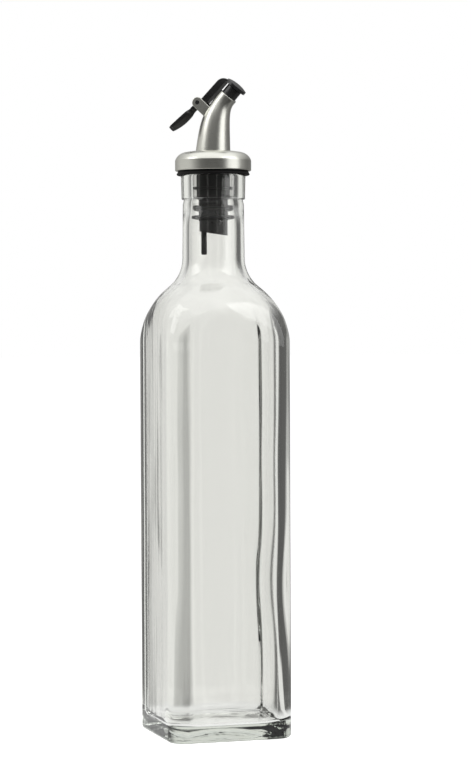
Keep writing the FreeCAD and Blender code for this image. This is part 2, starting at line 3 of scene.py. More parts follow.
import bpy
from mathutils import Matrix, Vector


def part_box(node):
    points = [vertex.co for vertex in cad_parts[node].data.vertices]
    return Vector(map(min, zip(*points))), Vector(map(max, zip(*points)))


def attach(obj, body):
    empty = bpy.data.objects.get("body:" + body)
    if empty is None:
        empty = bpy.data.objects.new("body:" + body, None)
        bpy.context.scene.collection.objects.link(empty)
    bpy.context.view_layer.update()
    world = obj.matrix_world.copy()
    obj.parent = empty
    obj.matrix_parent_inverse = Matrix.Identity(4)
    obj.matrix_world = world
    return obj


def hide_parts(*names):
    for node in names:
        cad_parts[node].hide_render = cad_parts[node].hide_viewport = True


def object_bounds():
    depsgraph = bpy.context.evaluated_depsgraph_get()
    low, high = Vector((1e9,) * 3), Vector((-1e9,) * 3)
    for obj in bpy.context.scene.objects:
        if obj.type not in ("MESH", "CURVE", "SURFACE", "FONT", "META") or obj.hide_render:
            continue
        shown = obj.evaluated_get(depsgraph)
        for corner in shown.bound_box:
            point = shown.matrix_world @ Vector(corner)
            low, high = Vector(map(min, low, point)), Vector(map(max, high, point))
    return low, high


bl_info = {
    "name": "Oil Bottle With Lever Pourer",
    "version": (1, 0, 0),
    "blender": (4, 5, 0),
    "location": "3D View > Sidebar > Oil Bottle",
    "description": "Blows the glass, finishes the pourer and sets the studio round the bottle",
    "category": "Object",
}

import math

import bmesh
import bpy
from bpy.props import FloatProperty, FloatVectorProperty, IntProperty, PointerProperty
from mathutils import Matrix, Vector, noise

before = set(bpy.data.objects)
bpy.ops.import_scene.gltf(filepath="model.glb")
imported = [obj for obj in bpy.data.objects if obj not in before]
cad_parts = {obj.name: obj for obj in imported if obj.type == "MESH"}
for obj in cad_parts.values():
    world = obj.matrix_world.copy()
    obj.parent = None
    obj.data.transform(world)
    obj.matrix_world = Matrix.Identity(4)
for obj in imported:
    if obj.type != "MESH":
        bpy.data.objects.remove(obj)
CAD_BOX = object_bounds()
BOTTLE_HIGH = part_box("bottle")[1]
BODY = "bottle_body"
MM = 0.001
WHITE = (1.0, 1.0, 1.0, 1.0)


# ------------------------------------------------------------------ settings
class GlassSettings(bpy.types.PropertyGroup):
    """Sizes and tint of the glass."""

    wall: FloatProperty(name="Wall", description="Thickness of the body's wall", default=2.5 * MM,
                        unit="LENGTH", precision=4)
    base: FloatProperty(name="Base", description="Thickness of the glass under the floor",
                        default=7.0 * MM, unit="LENGTH", precision=4)
    crown: FloatProperty(name="Crown", description="How much the floor inside rises to its middle",
                         default=0.8 * MM, unit="LENGTH", precision=4)
    push_up: FloatProperty(name="Push-up", description="Depth of the hollow under the base",
                           default=2.8 * MM, unit="LENGTH", precision=4)
    push_up_radius: FloatProperty(name="Push-up radius", description="Radius of the hollow under the base",
                                  default=23.0 * MM, unit="LENGTH", precision=4)
    heel: FloatProperty(name="Heel", description="Radius between the sides and the base",
                        default=1.8 * MM, unit="LENGTH", precision=4)
    corner: FloatProperty(name="Corner", description="Radius of the body's upright corners",
                          default=7.75 * MM, unit="LENGTH", precision=4)
    inner_corner: FloatProperty(name="Inner corner", description="Radius of the corners inside the body",
                                default=13.0 * MM, unit="LENGTH", precision=4)
    bulge: FloatProperty(name="Bulge", description="Radius of the shoulder where it leaves the sides",
                         default=19.6 * MM, unit="LENGTH", precision=4)
    slope: FloatProperty(name="Slope", description="Lean of the shoulder's steepest part from upright",
                         default=math.radians(48.2), subtype="ANGLE")
    sweep: FloatProperty(name="Sweep", description="Radius of the shoulder where it meets the neck",
                         default=16.6 * MM, unit="LENGTH", precision=4)
    neck: FloatProperty(name="Neck", description="Outer radius of the neck", default=14.25 * MM,
                        unit="LENGTH", precision=4)
    neck_length: FloatProperty(name="Neck length", description="From the end of the shoulder to the mouth",
                               default=37.7 * MM, unit="LENGTH", precision=4)
    bore: FloatProperty(name="Bore", description="Radius of the bore in the neck", default=11.0 * MM,
                        unit="LENGTH", precision=4)
    mouth: FloatProperty(name="Mouth", description="Radius of the bore at the mouth", default=9.25 * MM,
                         unit="LENGTH", precision=4)
    ring: FloatProperty(name="Ring", description="Outer radius of the mouth's ring", default=14.75 * MM,
                        unit="LENGTH", precision=4)
    ring_height: FloatProperty(name="Ring height", description="Height of the mouth's ring",
                               default=11.0 * MM, unit="LENGTH", precision=4)
    waviness: FloatProperty(name="Waviness", description="How uneven the inner wall is", default=1.0,
                            min=0.0, max=2.0)
    segments: IntProperty(name="Segments", description="Steps along one side and round one corner",
                          default=14, min=6, max=24)
    tint: FloatVectorProperty(name="Tint", description="Colour that one skin of the glass lets through",
                              subtype="COLOR", default=(0.926, 0.928, 0.914), min=0.0, max=1.0)
    depth_tint: FloatVectorProperty(name="Depth tint", description="Colour of thick glass",
                                    subtype="COLOR", default=(0.87, 0.885, 0.862), min=0.0, max=1.0)
    depth: FloatProperty(name="Depth", description="How fast thick glass darkens, per metre",
                         default=48.0, min=0.0)


class PourerSettings(bpy.types.PropertyGroup):
    """Colours of the pourer and its stopper."""

    satin: FloatVectorProperty(name="Satin metal", description="Colour of the plated shell",
                               subtype="COLOR", default=(0.635, 0.635, 0.585), min=0.0, max=1.0)
    rubber: FloatVectorProperty(name="Rubber", description="Colour of the stopper", subtype="COLOR",
                                default=(0.005, 0.005, 0.005), min=0.0, max=1.0)
    plastic: FloatVectorProperty(name="Plastic", description="Colour of the lever, nozzle and tubes",
                                 subtype="COLOR", default=(0.010, 0.010, 0.010), min=0.0, max=1.0)


class StudioSettings(bpy.types.PropertyGroup):
    """Camera and light of the room."""

    distance: FloatProperty(name="Distance", description="From the bottle's axis to the camera",
                            default=1.14, unit="LENGTH")
    azimuth: FloatProperty(name="Azimuth", description="Where the camera stands",
                           default=math.radians(-16.7), subtype="ANGLE")
    eye: FloatProperty(name="Eye level", description="Height of the camera", default=0.182, unit="LENGTH")
    lens: FloatProperty(name="Lens", description="Focal length in millimetres", default=114.5)
    pan: FloatProperty(name="Pan", description="Turn to the right of the axis",
                       default=math.radians(0.49), subtype="ANGLE")
    tilt: FloatProperty(name="Tilt", description="Turn down from the horizon",
                        default=math.radians(1.28), subtype="ANGLE")
    roll: FloatProperty(name="Roll", description="Turn about the line of sight",
                        default=math.radians(-0.27), subtype="ANGLE")
    room: FloatProperty(name="Room", description="Light from all round on dull surfaces", default=0.55,
                        min=0.0)


# ------------------------------------------------------------------ helpers
def mix(start, end, share):
    """The value at a share of the way from start to end."""
    return start + (end - start) * share


def smooth_step(share):
    """0 up to 0, 1 from 1 on, with a smooth rise between."""
    share = min(1.0, max(0.0, share))
    return share * share * (3.0 - 2.0 * share)


def steps(start, end, count):
    """Evenly spaced values after start, up to and with end."""
    return [mix(start, end, (i + 1) / count) for i in range(count)]


def arc(middle, radius, start, end, count):
    """Points after the first on an arc of the half section, as (width, level); degrees from outwards."""
    turns = [math.radians(angle) for angle in steps(start, end, count)]
    return [(middle[0] + radius * math.cos(turn), middle[1] + radius * math.sin(turn)) for turn in turns]


def shade(colour, share):
    """A colour made lighter or darker by a share."""
    return tuple(min(1.0, channel * share) for channel in colour)


def add_piece(name, bm, material, body=BODY):
    """Makes an object of a finished bmesh, gives it its finish and lets it ride on its body."""
    mesh = bpy.data.meshes.new(name)
    bm.to_mesh(mesh)
    bm.free()
    mesh.materials.append(material)
    piece = bpy.data.objects.new(name, mesh)
    bpy.context.scene.collection.objects.link(piece)
    if body:
        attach(piece, body)
    return piece


def give_finish(node, material):
    """Puts a finish on a carried-over node of the frame."""
    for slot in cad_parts[node].material_slots:
        slot.material = material


# ------------------------------------------------------------------ finishes
# A noise stays mostly between these.
NOISE_LOW = 0.3
NOISE_HIGH = 0.7
# What a lamp's light keeps on its way through a skin of the glass.
SHADOW_TINT = (0.9, 0.91, 0.9, 1.0)


class Finish:
    """A material on one Principled shader, with short ways to add nodes."""

    def __init__(self, name):
        self.material = bpy.data.materials.new(name)
        self.material.use_nodes = True
        self.tree = self.material.node_tree
        self.shader = self.tree.nodes["Principled BSDF"]
        self.output = self.tree.nodes["Material Output"]
        self.place = self.tree.nodes.new("ShaderNodeTexCoord").outputs["Object"]

    def set(self, **values):
        """Sets the shader's own sockets; spaces in their names are written as underscores."""
        for name, value in values.items():
            self.shader.inputs[name.replace("_", " ")].default_value = value

    def noise(self, scale, stretch=(1.0, 1.0, 1.0), detail=3.0, roughness=0.5):
        """A noise in the object's own coordinates, finer along an axis with a larger stretch."""
        mapping = self.tree.nodes.new("ShaderNodeMapping")
        mapping.inputs["Scale"].default_value = stretch
        self.tree.links.new(self.place, mapping.inputs["Vector"])
        texture = self.tree.nodes.new("ShaderNodeTexNoise")
        texture.inputs["Scale"].default_value = scale
        texture.inputs["Detail"].default_value = detail
        texture.inputs["Roughness"].default_value = roughness
        self.tree.links.new(mapping.outputs["Vector"], texture.inputs["Vector"])
        return texture.outputs["Fac"]

    def tint(self, value, dark, light):
        """Colours between two, by a noise."""
        ramp = self.tree.nodes.new("ShaderNodeValToRGB")
        low_mark, high_mark = ramp.color_ramp.elements
        low_mark.position = NOISE_LOW
        low_mark.color = (*dark, 1.0)
        high_mark.position = NOISE_HIGH
        high_mark.color = (*light, 1.0)
        self.tree.links.new(value, ramp.inputs["Fac"])
        self.tree.links.new(ramp.outputs["Color"], self.shader.inputs["Base Color"])

    def roughen(self, value, low, high):
        """Roughness between two levels, by a noise."""
        spread = self.tree.nodes.new("ShaderNodeMapRange")
        spread.inputs["From Min"].default_value = NOISE_LOW
        spread.inputs["From Max"].default_value = NOISE_HIGH
        spread.inputs["To Min"].default_value = low
        spread.inputs["To Max"].default_value = high
        self.tree.links.new(value, spread.inputs["Value"])
        self.tree.links.new(spread.outputs["Result"], self.shader.inputs["Roughness"])

    def emboss(self, value, depth):
        """Relief of a depth in metres; several are laid over each other."""
        bump = self.tree.nodes.new("ShaderNodeBump")
        bump.inputs["Strength"].default_value = 1.0
        bump.inputs["Distance"].default_value = depth
        self.tree.links.new(value, bump.inputs["Height"])
        if self.shader.inputs["Normal"].is_linked:
            below = self.shader.inputs["Normal"].links[0].from_socket
            self.tree.links.new(below, bump.inputs["Normal"])
        self.tree.links.new(bump.outputs["Normal"], self.shader.inputs["Normal"])


def let_lamps_through(finish):
    """Lets lamps shine through clear glass, which would otherwise cast a solid's shadow."""
    path = finish.tree.nodes.new("ShaderNodeLightPath")
    clear = finish.tree.nodes.new("ShaderNodeBsdfTransparent")
    clear.inputs["Color"].default_value = SHADOW_TINT
    either = finish.tree.nodes.new("ShaderNodeMixShader")
    finish.tree.links.new(path.outputs["Is Shadow Ray"], either.inputs["Fac"])
    finish.tree.links.new(finish.shader.outputs["BSDF"], either.inputs[1])
    finish.tree.links.new(clear.outputs["BSDF"], either.inputs[2])
    finish.tree.links.new(either.outputs["Shader"], finish.output.inputs["Surface"])


def clear_glass(settings):
    """Flint glass: smooth, with soft ripples and drawn lines, darker and greener where it is thick."""
    finish = Finish("clear_glass")
    finish.set(Base_Color=(*settings.tint, 1.0), Roughness=0.0, IOR=1.5, Transmission_Weight=1.0)
    ripples = finish.noise(scale=55.0, stretch=(1.0, 1.0, 0.45), detail=1.0)
    drawn_lines = finish.noise(scale=260.0, stretch=(1.0, 1.0, 0.04), detail=1.0)
    finish.emboss(ripples, depth=0.08 * MM)
    finish.emboss(drawn_lines, depth=0.07 * MM)
    absorb = finish.tree.nodes.new("ShaderNodeVolumeAbsorption")
    absorb.inputs["Color"].default_value = (*settings.depth_tint, 1.0)
    absorb.inputs["Density"].default_value = settings.depth
    finish.tree.links.new(absorb.outputs["Volume"], finish.output.inputs["Volume"])
    let_lamps_through(finish)
    return finish.material


def satin_metal(settings):
    """Satin plating: fine lines round the axis, over a faint unevenness."""
    finish = Finish("satin_metal")
    finish.set(Metallic=1.0)
    lines = finish.noise(scale=1.0, stretch=(150.0, 150.0, 5200.0), detail=3.0, roughness=0.6)
    cloud = finish.noise(scale=160.0, detail=2.0)
    grain = finish.noise(scale=4200.0, detail=2.0)
    finish.tint(cloud, shade(settings.satin, 0.955), shade(settings.satin, 1.03))
    finish.roughen(lines, low=0.27, high=0.35)
    finish.emboss(lines, depth=0.0022 * MM)
    finish.emboss(grain, depth=0.0015 * MM)
    return finish.material


def black_rubber(settings):
    """Dull soft rubber with a fine moulded grain."""
    finish = Finish("black_rubber")
    finish.set(Specular_IOR_Level=0.15)
    cloud = finish.noise(scale=220.0, detail=4.0)
    grain = finish.noise(scale=2600.0, detail=3.0)
    finish.tint(cloud, shade(settings.rubber, 0.8), shade(settings.rubber, 1.5))
    finish.roughen(cloud, low=0.5, high=0.65)
    finish.emboss(grain, depth=0.02 * MM)
    return finish.material


def black_plastic(settings):
    """Moulded plastic, half gloss, with a faint flow and a fine grain."""
    finish = Finish("black_plastic")
    flow = finish.noise(scale=260.0, detail=3.0)
    grain = finish.noise(scale=1900.0, detail=3.0)
    finish.tint(flow, shade(settings.plastic, 0.8), shade(settings.plastic, 1.4))
    finish.roughen(flow, low=0.24, high=0.38)
    finish.emboss(grain, depth=0.01 * MM)
    return finish.material


# ------------------------------------------------------------------ glass
# Half the turn of each side's own arc once the section is a circle; the four corners take the rest.
SIDE_TURN = math.radians(25.0)
# The square section starts to turn round this far below the shoulder, and is round this far below the neck.
SQUARE_LEAD = 9.0 * MM
ROUND_LEAD = 9.8 * MM
# Under the base and on the floor inside, a fan of this radius closes the skin.
PUSH_UP_MIDDLE = 4.0 * MM
FLOOR_MIDDLE = 3.0 * MM
FLOOR_EDGE = 3.0 * MM
# How much the floor's flats narrow on their way in from the wall, as a share of that way.
FLOOR_NARROWING = 0.2
NECK_TAPER = 0.3 * MM
GROOVE_DEPTH = 0.45 * MM
GROOVE_HEIGHT = 2.2 * MM
RING_TAPER = 0.25 * MM
RING_FOOT = 0.45 * MM
RING_EDGE = 0.9 * MM
LIP = 0.5 * MM
MOUTH_DEPTH = 9.0 * MM
BORE_TAPER = 14.0 * MM
# Angle from which an edge of the glass shows as an edge.
SHARP_EDGE = math.radians(50)

# Unevenness of the inner wall: depths, and how many waves a metre has across and up.
BROAD_WAVES = (0.30 * MM, 28, 14, 3.1)
SMALL_WAVES = (0.15 * MM, 90, 30, 9.7)
CORNER_RIBS = (0.16 * MM, 240, 9, 5.3)
BACK_CORNER_DEPTH = -0.8 * MM
FRONT_CORNER_DEPTH = -0.9 * MM
SWELL_DEPTH = 0.4 * MM
SWELL_LEVEL = 70 * MM
SWELL_REACH = 22 * MM
WAVE_FADE = 30 * MM


class Skin:
    """One skin of the glass over the middle of a flat side.

    From the bottom up it is straight, bulges, slopes and sweeps into the neck.
    """

    def __init__(self, half_width, corner, bulge, neck, sweep, turn):
        self.half_width = half_width
        self.flat_share = (half_width - corner) / half_width
        self.bulge = bulge
        self.neck = neck
        self.sweep = sweep
        self.turn = turn
        self.slope_width = half_width - neck - (bulge + sweep) * (1 - math.cos(turn))

    def rise(self):
        """Height of the whole shoulder, from the start of the bulge to the end of the sweep."""
        return self.slope_width / math.tan(self.turn) + (self.bulge + self.sweep) * math.sin(self.turn)

    def stand_on(self, bulge_start):
        """Sets the levels at which the bulge, the slope and the sweep start, and where the sweep ends."""
        self.bulge_start = bulge_start
        self.slope_start = bulge_start + self.bulge * math.sin(self.turn)
        self.sweep_start = self.slope_start + self.slope_width / math.tan(self.turn)
        self.sweep_top = self.sweep_start + self.sweep * math.sin(self.turn)

    def width_at(self, level):
        """Half of the skin's width at a level."""
        if level <= self.bulge_start:
            return self.half_width
        if level <= self.slope_start:
            return self.half_width - self.bulge + math.sqrt(self.bulge ** 2 - (level - self.bulge_start) ** 2)
        if level <= self.sweep_start:
            bulge_width = self.half_width - self.bulge * (1 - math.cos(self.turn))
            return bulge_width - (level - self.slope_start) * math.tan(self.turn)
        if level <= self.sweep_top:
            return self.neck + self.sweep - math.sqrt(self.sweep ** 2 - (self.sweep_top - level) ** 2)
        return self.neck

    def flat_at(self, width, roundness):
        """Half of the side's own stretch between the corners."""
        return width * mix(self.flat_share, math.sin(SIDE_TURN), roundness)


def section_point(index, count, width, flat, roundness):
    """A point of a section of four sides and four corners: straight sides at roundness 0, a circle at 1."""
    turn = SIDE_TURN * roundness
    corner = (width - flat * (1 + math.tan(turn / 2))) / (math.cos(turn) - math.sin(turn))
    corner_at = flat - corner * math.sin(turn)
    quarter, step = divmod(index, 2 * count)
    if step < count:
        across = mix(-flat, flat, step / count)
        out = width
        if turn > 0:
            side_radius = flat / math.sin(turn)
            out = width - side_radius + math.sqrt(side_radius ** 2 - across ** 2)
    else:
        angle = mix(turn, math.pi / 2 - turn, (step - count) / count)
        out = corner_at + corner * math.cos(angle)
        across = corner_at + corner * math.sin(angle)
    for _ in range(quarter):
        out, across = -across, out
    return out, across


def waves_at(x, y, level, depth, across, up, start):
    """The height of soft waves of a depth, with a number of waves a metre across and up."""
    return depth * noise.noise(Vector((x * across, y * across, level * up + start)))


def side_share(offset, start, reach):
    """0 up to a start on the way from the axis to a side, and 1 beyond its reach, in half widths."""
    return smooth_step((offset - start) / reach)


def wall_wave(x, y, level, half_width):
    """How far the inner wall stands in from its true place.

    Waves run all over it, ribs run up the front left corner, and the corners on the right vary in depth.
    """
    right = x / half_width
    back = y / half_width
    waves = waves_at(x, y, level, *BROAD_WAVES) + waves_at(x, y, level, *SMALL_WAVES)
    ribs_share = side_share(-right, start=0.3, reach=0.4) * side_share(-back, start=0.3, reach=0.4)
    back_share = side_share(right, start=0.3, reach=0.5) * side_share(back, start=0.3, reach=0.5)
    front_share = side_share(right, start=0.3, reach=0.6) * side_share(-back, start=0.2, reach=0.6)
    swell = math.exp(-((level - SWELL_LEVEL) / SWELL_REACH) ** 2)
    ribs = waves_at(x, y, level, *CORNER_RIBS) * ribs_share
    back_corner = BACK_CORNER_DEPTH * back_share
    front_corner = mix(FRONT_CORNER_DEPTH, SWELL_DEPTH, swell) * front_share
    return waves + back_corner + front_corner + ribs


class RingBuilder:
    """Draws a closed skin ring by ring: a filled disc first, then each rim extruded from the last."""

    def __init__(self, count):
        self.count = count
        self.bm = bmesh.new()
        self.ring = []
        self.edges = []

    def start_disc(self, width, level):
        """Starts the skin with a disc, filled by a fan round its middle."""
        made = bmesh.ops.create_circle(self.bm, cap_ends=True, cap_tris=True, radius=width,
                                       segments=8 * self.count)["verts"]
        middle = next(vertex for vertex in made if vertex.co.length < width / 2)
        middle.co.z = level
        self.ring = [vertex for vertex in made if vertex != middle]
        self.edges = [edge for edge in self.bm.edges if middle not in edge.verts]

    def extrude_rim(self):
        """Extrudes the rim, and takes the new vertices in the order of the old ones."""
        made = bmesh.ops.extrude_edge_only(self.bm, edges=self.edges)["geom"]
        fresh = {item for item in made if isinstance(item, bmesh.types.BMVert)}
        self.edges = [item for item in made
                      if isinstance(item, bmesh.types.BMEdge) and all(end in fresh for end in item.verts)]
        ring = []
        for vertex in self.ring:
            ends = (edge.other_vert(vertex) for edge in vertex.link_edges)
            ring.append(next(end for end in ends if end in fresh))
        self.ring = ring

    def lay(self, width, level, roundness=1.0, flat=None, wave=None):
        """Lays the next ring at a level, round unless a roundness and half a side's stretch are given."""
        if flat is None:
            flat = width * mix(1.0, math.sin(SIDE_TURN), roundness)
        if self.ring:
            self.extrude_rim()
        else:
            self.start_disc(width, level)
        for index, vertex in enumerate(self.ring):
            x, y = section_point(index, self.count, width, flat, roundness)
            if wave:
                share = 1 - wave(x, y, level) / width
                x, y = x * share, y * share
            vertex.co = (x, y, level)

    def close(self, level):
        """Fills the last ring with a fan round its middle."""
        disc = bmesh.ops.contextual_create(self.bm, geom=self.edges)["faces"]
        middle = bmesh.ops.poke(self.bm, faces=disc)["verts"][0]
        middle.co.z = level


class Bottle:
    """Blows the bottle as one closed skin.

    It starts under the base, goes up the outside, over the mouth and down inside, and ends on the floor.
    """

    def __init__(self, sizes, height, half_width):
        self.sizes = sizes
        self.height = height
        self.half_width = half_width
        self.outer = Skin(half_width, sizes.corner, sizes.bulge, sizes.neck, sizes.sweep, sizes.slope)
        self.inner = Skin(half_width - sizes.wall, sizes.inner_corner, sizes.bulge - sizes.wall, sizes.bore,
                          sizes.sweep + sizes.wall, sizes.slope)
        self.neck_start = height - sizes.neck_length
        self.outer.stand_on(self.neck_start - self.outer.rise())
        self.inner.stand_on(self.outer.bulge_start)
        self.square_end = self.outer.bulge_start - SQUARE_LEAD
        self.round_start = self.neck_start - ROUND_LEAD
        self.side_flat = half_width - sizes.corner
        self.inner_flat = self.inner.half_width - sizes.inner_corner
        self.ring_bottom = height - sizes.ring_height
        self.rings = RingBuilder(sizes.segments)

    def blow(self):
        """The finished bmesh."""
        self.lay_base()
        self.lay_outside()
        self.lay_mouth_ring()
        self.lay_bore()
        self.lay_inner_wall()
        self.lay_floor()
        bm = self.rings.bm
        bmesh.ops.recalc_face_normals(bm, faces=bm.faces)
        for face in bm.faces:
            face.smooth = True
        return bm

    def lay_base(self):
        """The push-up in the middle, the foot round it and the heel."""
        sizes = self.sizes
        lay = self.rings.lay
        lay(PUSH_UP_MIDDLE, sizes.push_up)
        spread = sizes.push_up_radius ** 2 - PUSH_UP_MIDDLE ** 2
        for radius in steps(PUSH_UP_MIDDLE, sizes.push_up_radius, count=9):
            lay(radius, sizes.push_up * (1 - (radius ** 2 - PUSH_UP_MIDDLE ** 2) / spread))
        foot_width = self.half_width - sizes.heel
        round_flat = sizes.push_up_radius * math.sin(SIDE_TURN)
        for share in steps(0.0, 1.0, count=4):
            width = mix(sizes.push_up_radius, foot_width, share)
            lay(width, 0.0, 1 - share, mix(round_flat, self.side_flat, share))
        for width, level in arc((foot_width, sizes.heel), sizes.heel, -90, 0, count=9):
            lay(width, level, 0.0, self.side_flat)

    def lay_outside(self):
        """The flat sides, the shoulder that turns them round, and the neck with its groove."""
        sizes = self.sizes
        lay = self.rings.lay
        for level in steps(sizes.heel, self.square_end, count=44):
            lay(self.half_width, level, 0.0, self.side_flat)
        for share in steps(0.0, 1.0, count=40):
            self.lay_shoulder(self.outer, share)
        for level in steps(self.round_start, self.neck_start, count=10):
            lay(self.outer.width_at(level), level)
        neck_top = sizes.neck - NECK_TAPER
        groove_bottom = self.ring_bottom - GROOVE_HEIGHT
        for share in steps(0.0, 1.0, count=12):
            lay(mix(sizes.neck, neck_top, share), mix(self.neck_start, groove_bottom, share))
        for share in steps(0.0, 1.0, count=5):
            depth = GROOVE_DEPTH * math.sin(share * math.pi / 2)
            lay(neck_top - depth, mix(groove_bottom, self.ring_bottom, share))

    def lay_shoulder(self, skin, share, wave=None):
        """A ring of a skin's shoulder, between its last square section and its first round one."""
        level = mix(self.square_end, self.round_start, share)
        roundness = smooth_step(share)
        width = skin.width_at(level)
        self.rings.lay(width, level, roundness, skin.flat_at(width, roundness), wave)

    def lay_mouth_ring(self):
        """The ring round the mouth, from its rounded foot to the lip."""
        sizes = self.sizes
        lay = self.rings.lay
        low = sizes.ring - RING_TAPER
        foot_level = self.ring_bottom + RING_FOOT
        edge_level = self.height - RING_EDGE
        lay(low - RING_FOOT, self.ring_bottom)
        for width, level in arc((low - RING_FOOT, foot_level), RING_FOOT, -90, 0, count=5):
            lay(width, level)
        for share in steps(0.0, 1.0, count=5):
            lay(mix(low, sizes.ring, share), mix(foot_level, edge_level, share))
        for width, level in arc((sizes.ring - RING_EDGE, edge_level), RING_EDGE, 0, 90, count=6):
            lay(width, level)
        for share in steps(0.0, 1.0, count=2):
            lay(mix(sizes.ring - RING_EDGE, sizes.mouth + LIP, share), self.height)
        for width, level in arc((sizes.mouth + LIP, self.height - LIP), LIP, 90, 180, count=4):
            lay(width, level)

    def lay_bore(self):
        """The straight mouth that grips the stopper, and the bore that widens below it."""
        sizes = self.sizes
        lay = self.rings.lay
        mouth_end = self.height - MOUTH_DEPTH
        for level in steps(self.height - LIP, mouth_end, count=4):
            lay(sizes.mouth, level)
        for share in steps(0.0, 1.0, count=6):
            lay(mix(sizes.mouth, sizes.bore, smooth_step(share)), mouth_end - BORE_TAPER * share)
        for level in steps(mouth_end - BORE_TAPER, self.inner.sweep_top, count=8):
            lay(sizes.bore, level)
        for level in steps(self.inner.sweep_top, self.round_start, count=8):
            lay(self.inner.width_at(level), level)

    def wave(self, x, y, level):
        """The inner wall's unevenness, which fades out towards the neck."""
        fade = smooth_step((self.round_start - level) / WAVE_FADE)
        return self.sizes.waviness * fade * wall_wave(x, y, level, self.inner.half_width)

    def lay_inner_wall(self):
        """The shoulder and the sides from inside."""
        for share in steps(1.0, 0.0, count=40):
            self.lay_shoulder(self.inner, share, self.wave)
        for level in steps(self.square_end, self.sizes.base + FLOOR_EDGE, count=60):
            self.rings.lay(self.inner.half_width, level, 0.0, self.inner_flat, self.wave)

    def lay_floor(self):
        """The rounded edge of the floor inside, and the floor up to its crown."""
        sizes = self.sizes
        lay = self.rings.lay
        floor_width = self.inner.half_width - FLOOR_EDGE
        for width, level in arc((floor_width, sizes.base + FLOOR_EDGE), FLOOR_EDGE, 0, -90, count=8):
            way_in = self.inner.half_width - width
            lay(width, level, 0.0, self.inner_flat - way_in * FLOOR_NARROWING, self.wave)
        edge_flat = self.inner_flat - FLOOR_EDGE * FLOOR_NARROWING
        middle_flat = FLOOR_MIDDLE * math.sin(SIDE_TURN)
        for share in steps(0.0, 1.0, count=12):
            width = mix(floor_width, FLOOR_MIDDLE, share)
            wave = self.wave if share <= 0.5 else None
            lay(width, sizes.base + sizes.crown * smooth_step(share), share,
                mix(edge_flat, middle_flat, share), wave)
        self.rings.close(sizes.base + sizes.crown)


# ------------------------------------------------------------------ studio
FLOOR_DROP = 0.2 * MM
FLOOR_REACH = 20.0
FLOOR_PAINT = (0.82, 0.82, 0.82, 1.0)
CARD_DROP = 0.1 * MM
CARD_STEPS = 72
# The cards' greys start to fade to white at this share of their height.
CARD_FADE_START = 0.25

# Greys by the angle in degrees, to the left of what is straight behind the bottle.
MIRRORED_GREYS = (
    (-180, 0.12), (-160, 0.08), (-145, 0.06), (-125, 0.06), (-112, 0.2), (-80, 0.3),
    (-60, 0.18), (-20, 0.25), (0, 0.35), (15, 0.42), (33, 0.44), (50, 0.55),
    (65, 0.75), (105, 0.7), (128, 0.3), (145, 0.12), (160, 0.1), (180, 0.12),
)
# These leave open what lies straight behind the bottle from here, and from most other sides.
FLAG_GREYS = (
    (-180, 0.1), (-169, 0.1), (-166, 0.9), (-160, 0.9), (-157, 0.1), (-132, 0.1), (-118, 1.0), (-104, 0.2),
    (-82, 0.2), (-78, 0.9), (-69, 0.9), (-65, 0.12), (-38, 0.12), (-28, 0.55), (-20, 0.92), (-13, 1.0),
    (18, 1.0), (25, 0.78), (34, 0.6), (44, 0.3), (54, 0.2), (58, 0.8), (66, 0.8), (70, 0.15),
    (99, 0.15), (107, 1.0), (116, 0.1), (147, 0.1), (150, 0.9), (156, 0.9), (160, 0.1), (180, 0.1),
)
# A faint warmth that the cards' greys have in common.
CARD_TONE = (1.0, 0.995, 0.975)


def ray_level(tree, straight, bent, otherwise):
    """A level for what the camera sees straight, one for mirrors and glass, and one for dull surfaces."""
    path = tree.nodes.new("ShaderNodeLightPath")
    level = otherwise
    for ray, chosen in (("Is Transmission Ray", bent), ("Is Glossy Ray", bent), ("Is Camera Ray", straight)):
        either = tree.nodes.new("ShaderNodeMix")
        either.data_type = "FLOAT"
        tree.links.new(path.outputs[ray], either.inputs["Factor"])
        if isinstance(level, float):
            either.inputs["A"].default_value = level
        else:
            tree.links.new(level, either.inputs["A"])
        either.inputs["B"].default_value = chosen
        level = either.outputs["Result"]
    return level


def white_room(level):
    """A world that is white to look at and lights the object at a plain level."""
    world = bpy.data.worlds.new("white_room")
    world.use_nodes = True
    bpy.context.scene.world = world
    tree = world.node_tree
    background = tree.nodes["Background"]
    background.inputs["Color"].default_value = WHITE
    strength = ray_level(tree, straight=1.0, bent=1.0, otherwise=level)
    tree.links.new(strength, background.inputs["Strength"])


def white_floor():
    """A pale floor that looks white where no shadow falls on it."""
    finish = Finish("white_floor")
    finish.set(Base_Color=FLOOR_PAINT, Roughness=0.9, Specular_IOR_Level=0.0, Emission_Color=WHITE)
    glow = ray_level(finish.tree, straight=0.62, bent=0.15, otherwise=0.0)
    finish.tree.links.new(glow, finish.shader.inputs["Emission Strength"])
    bm = bmesh.new()
    bmesh.ops.create_grid(bm, x_segments=1, y_segments=1, size=FLOOR_REACH)
    bmesh.ops.translate(bm, verts=bm.verts, vec=(0.0, 0.0, -FLOOR_DROP))
    floor = add_piece("floor", bm, finish.material, body=None)


def greys_by_angle(tree, place, behind, greys):
    """A colour that goes by the angle round the bottle's axis."""
    turned = tree.nodes.new("ShaderNodeMapping")
    turned.inputs["Rotation"].default_value = (0.0, 0.0, -behind)
    tree.links.new(place, turned.inputs["Vector"])
    round_about = tree.nodes.new("ShaderNodeTexGradient")
    round_about.gradient_type = "RADIAL"
    tree.links.new(turned.outputs["Vector"], round_about.inputs["Vector"])
    ramp = tree.nodes.new("ShaderNodeValToRGB")
    ramp.color_ramp.interpolation = "EASE"
    marks = ramp.color_ramp.elements
    while len(marks) < len(greys):
        marks.new(0.5)
    for mark, (angle, grey) in zip(marks, greys):
        mark.position = 0.5 + angle / 360.0
        mark.color = (*(grey * tone for tone in CARD_TONE), 1.0)
    tree.links.new(round_about.outputs["Fac"], ramp.inputs["Fac"])
    return ramp.outputs["Color"]


